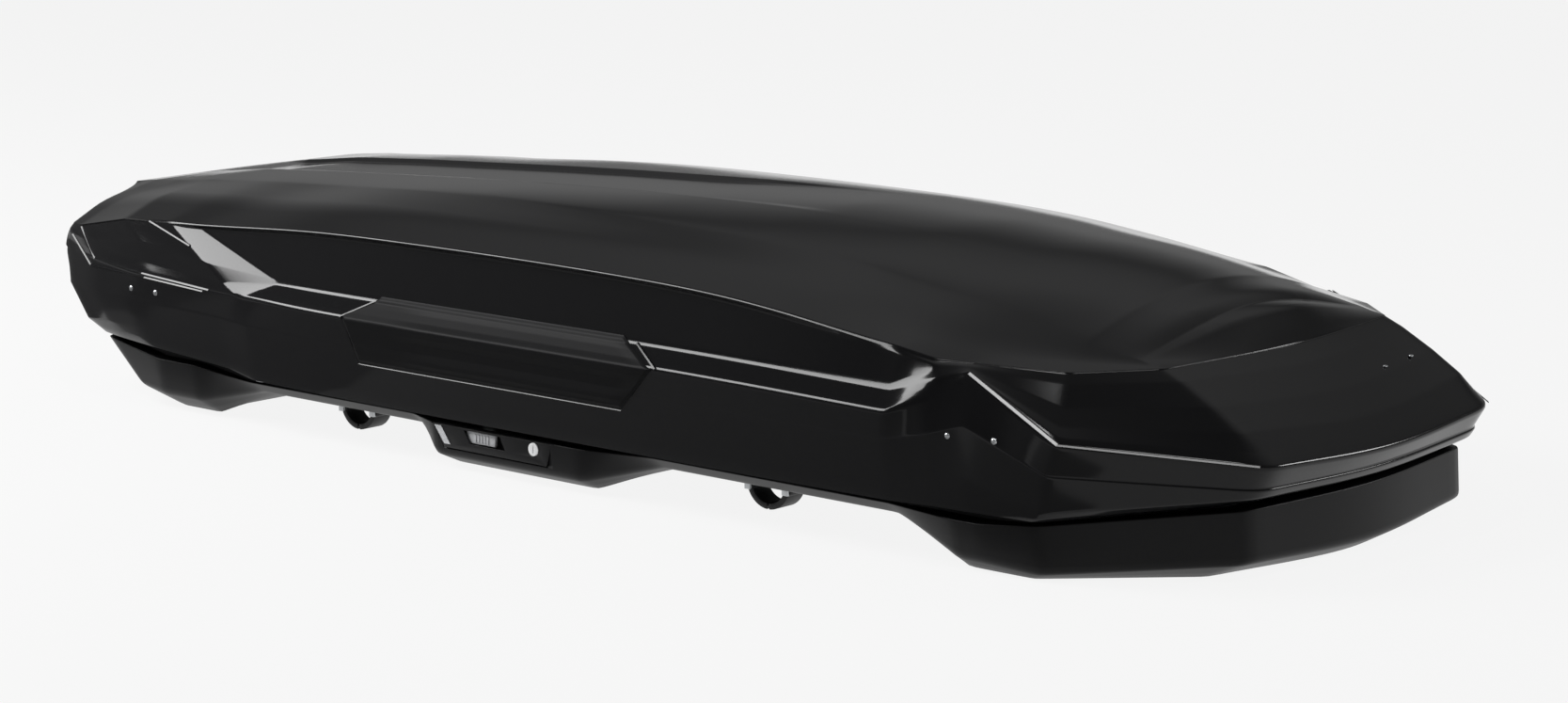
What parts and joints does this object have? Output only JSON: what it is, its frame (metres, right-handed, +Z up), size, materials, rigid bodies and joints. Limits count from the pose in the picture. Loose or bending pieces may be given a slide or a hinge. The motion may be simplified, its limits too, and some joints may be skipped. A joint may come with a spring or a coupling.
{
  "type": "roof cargo box",
  "caption": "Long low roof box with a creased gloss lid that opens to either side over a stepped base tray, with slide locks, lifter arms and quick clamps for crossbars.",
  "frame": {"origin": "middle of the plane the box stands on", "axes": "+X to the front of the box, +Y to its left side, +Z up"},
  "size_m": [2.15, 0.924, 0.3632],
  "materials": {
    "lid_gloss": "gloss black moulded shell",
    "base_satin": "satin black moulded tray",
    "handle_matte": "fine grained matte black",
    "lock_matte": "matte dark grey",
    "clamp_black": "matte black reinforced plastic",
    "knob_grey": "light grey grip plastic",
    "button_grey": "mid grey",
    "edge_rubber": "black extruded edging",
    "rail_alu": "mill finish extrusion",
    "steel": "zinc plated",
    "arm_dark": "dark powder coat"
  },
  "bodies": {
    "base": {"base_shell": "base_satin", "base_edge_trim": "edge_rubber", "mounting_rails": "rail_alu", "rail_end_caps": "clamp_black", "clamp_pads": "edge_rubber", "clamp_carriers": "steel", "clamp_housing_front_right": "clamp_black", "clamp_housing_front_left": "clamp_black", "clamp_housing_rear_right": "clamp_black", "clamp_housing_rear_left": "clamp_black", "pin_cradles_right": "steel", "pin_cradles_left": "steel", "lock_plate_right": "lock_matte", "lock_plate_left": "lock_matte", "lifter_brackets": "steel", "lifter_springs": "steel"},
    "right_pins": {"striker_pins_right": "steel"},
    "lid": {"lid_shell": "lid_gloss", "lid_beam_right": "rail_alu", "lid_beam_left": "rail_alu", "pin_brackets_right": "steel", "pin_brackets_left": "steel", "striker_pins_left": "steel", "handle_panel_right": "handle_matte", "handle_panel_left": "handle_matte", "handle_pull_right": "clamp_black", "handle_pull_left": "clamp_black", "lifter_rests": "steel", "rivets": "steel"},
    "lifter_arm_front_right": {"lifter_arm_front_right": "arm_dark"},
    "lifter_arm_front_left": {"lifter_arm_front_left": "arm_dark"},
    "lifter_arm_rear_right": {"lifter_arm_rear_right": "arm_dark"},
    "lifter_arm_rear_left": {"lifter_arm_rear_left": "arm_dark"},
    "knob_front_right": {"clamp_knob_front_right": "knob_grey"},
    "claw_a_front_right": {"claw_a_front_right": "clamp_black"},
    "claw_b_front_right": {"claw_b_front_right": "clamp_black"},
    "knob_front_left": {"clamp_knob_front_left": "knob_grey"},
    "claw_a_front_left": {"claw_a_front_left": "clamp_black"},
    "claw_b_front_left": {"claw_b_front_left": "clamp_black"},
    "knob_rear_right": {"clamp_knob_rear_right": "knob_grey"},
    "claw_a_rear_right": {"claw_a_rear_right": "clamp_black"},
    "claw_b_rear_right": {"claw_b_rear_right": "clamp_black"},
    "knob_rear_left": {"clamp_knob_rear_left": "knob_grey"},
    "claw_a_rear_left": {"claw_a_rear_left": "clamp_black"},
    "claw_b_rear_left": {"claw_b_rear_left": "clamp_black"},
    "lock_right": {"lock_bar_right": "steel", "slide_button_right": "button_grey"},
    "key_right": {"key_cylinder_right": "steel"},
    "lock_left": {"lock_bar_left": "steel", "slide_button_left": "button_grey"},
    "key_left": {"key_cylinder_left": "steel"}
  },
  "joints": [
    {"name": "lid_open_right", "type": "hinge", "parent": "base", "child": "right_pins", "pos_m": [0, 0.424, 0.08], "axis": [-1, 0, 0], "range_deg": [0, 45]},
    {"name": "lid_open_left", "type": "hinge", "parent": "right_pins", "child": "lid", "pos_m": [0, -0.424, 0.08], "axis": [1, 0, 0], "range_deg": [0, 45]},
    {"name": "lifter_front_right_turn", "type": "hinge", "parent": "base", "child": "lifter_arm_front_right", "pos_m": [0.726, 0.384, 0.084], "axis": [-1, 0, 0], "range_deg": [0, 48]},
    {"name": "lifter_front_left_turn", "type": "hinge", "parent": "base", "child": "lifter_arm_front_left", "pos_m": [0.738, -0.384, 0.084], "axis": [1, 0, 0], "range_deg": [0, 48]},
    {"name": "lifter_rear_right_turn", "type": "hinge", "parent": "base", "child": "lifter_arm_rear_right", "pos_m": [-0.768, 0.384, 0.084], "axis": [-1, 0, 0], "range_deg": [0, 48]},
    {"name": "lifter_rear_left_turn", "type": "hinge", "parent": "base", "child": "lifter_arm_rear_left", "pos_m": [-0.756, -0.384, 0.084], "axis": [1, 0, 0], "range_deg": [0, 48]},
    {"name": "knob_front_right_turn", "type": "hinge", "parent": "base", "child": "knob_front_right", "pos_m": [0.357, -0.33, 0.085], "axis": [0, 0, 1], "range_deg": [0, 720]},
    {"name": "claw_a_front_right_swing", "type": "hinge", "parent": "base", "child": "claw_a_front_right", "pos_m": [0.389, -0.33, 0.036], "axis": [0, -1, 0], "range_deg": [0, 48]},
    {"name": "claw_b_front_right_swing", "type": "hinge", "parent": "base", "child": "claw_b_front_right", "pos_m": [0.325, -0.33, 0.036], "axis": [0, 1, 0], "range_deg": [0, 48]},
    {"name": "knob_front_left_turn", "type": "hinge", "parent": "base", "child": "knob_front_left", "pos_m": [0.357, 0.33, 0.085], "axis": [0, 0, 1], "range_deg": [0, 720]},
    {"name": "claw_a_front_left_swing", "type": "hinge", "parent": "base", "child": "claw_a_front_left", "pos_m": [0.389, 0.33, 0.036], "axis": [0, -1, 0], "range_deg": [0, 48]},
    {"name": "claw_b_front_left_swing", "type": "hinge", "parent": "base", "child": "claw_b_front_left", "pos_m": [0.325, 0.33, 0.036], "axis": [0, 1, 0], "range_deg": [0, 48]},
    {"name": "knob_rear_right_turn", "type": "hinge", "parent": "base", "child": "knob_rear_right", "pos_m": [-0.424, -0.33, 0.085], "axis": [0, 0, 1], "range_deg": [0, 720]},
    {"name": "claw_a_rear_right_swing", "type": "hinge", "parent": "base", "child": "claw_a_rear_right", "pos_m": [-0.392, -0.33, 0.036], "axis": [0, -1, 0], "range_deg": [0, 48]},
    {"name": "claw_b_rear_right_swing", "type": "hinge", "parent": "base", "child": "claw_b_rear_right", "pos_m": [-0.456, -0.33, 0.036], "axis": [0, 1, 0], "range_deg": [0, 48]},
    {"name": "knob_rear_left_turn", "type": "hinge", "parent": "base", "child": "knob_rear_left", "pos_m": [-0.424, 0.33, 0.085], "axis": [0, 0, 1], "range_deg": [0, 720]},
    {"name": "claw_a_rear_left_swing", "type": "hinge", "parent": "base", "child": "claw_a_rear_left", "pos_m": [-0.392, 0.33, 0.036], "axis": [0, -1, 0], "range_deg": [0, 48]},
    {"name": "claw_b_rear_left_swing", "type": "hinge", "parent": "base", "child": "claw_b_rear_left", "pos_m": [-0.456, 0.33, 0.036], "axis": [0, 1, 0], "range_deg": [0, 48]},
    {"name": "lock_right_slide", "type": "slide", "parent": "base", "child": "lock_right", "axis": [1, 0, 0], "range_m": [0, 0.02]},
    {"name": "key_right_turn", "type": "hinge", "parent": "base", "child": "key_right", "pos_m": [0.012, -0.42, 0.052], "axis": [0, -1, 0], "range_deg": [0, 90]},
    {"name": "lock_left_slide", "type": "slide", "parent": "base", "child": "lock_left", "axis": [1, 0, 0], "range_m": [0, 0.02]},
    {"name": "key_left_turn", "type": "hinge", "parent": "base", "child": "key_left", "pos_m": [0.012, 0.42, 0.052], "axis": [0, 1, 0], "range_deg": [0, 90]}
  ],
  "couplings": [
    {"joint": "lifter_front_right_turn", "follows": "lid_open_right", "ratio": 1.045},
    {"joint": "lifter_front_left_turn", "follows": "lid_open_left", "ratio": 1.045},
    {"joint": "lifter_rear_right_turn", "follows": "lid_open_right", "ratio": 1.045},
    {"joint": "lifter_rear_left_turn", "follows": "lid_open_left", "ratio": 1.045},
    {"joint": "claw_a_front_right_swing", "follows": "knob_front_right_turn", "ratio": 0.066666},
    {"joint": "claw_b_front_right_swing", "follows": "knob_front_right_turn", "ratio": 0.066666},
    {"joint": "claw_a_front_left_swing", "follows": "knob_front_left_turn", "ratio": 0.066666},
    {"joint": "claw_b_front_left_swing", "follows": "knob_front_left_turn", "ratio": 0.066666},
    {"joint": "claw_a_rear_right_swing", "follows": "knob_rear_right_turn", "ratio": 0.066666},
    {"joint": "claw_b_rear_right_swing", "follows": "knob_rear_right_turn", "ratio": 0.066666},
    {"joint": "claw_a_rear_left_swing", "follows": "knob_rear_left_turn", "ratio": 0.066666},
    {"joint": "claw_b_rear_left_swing", "follows": "knob_rear_left_turn", "ratio": 0.066666}
  ]
}
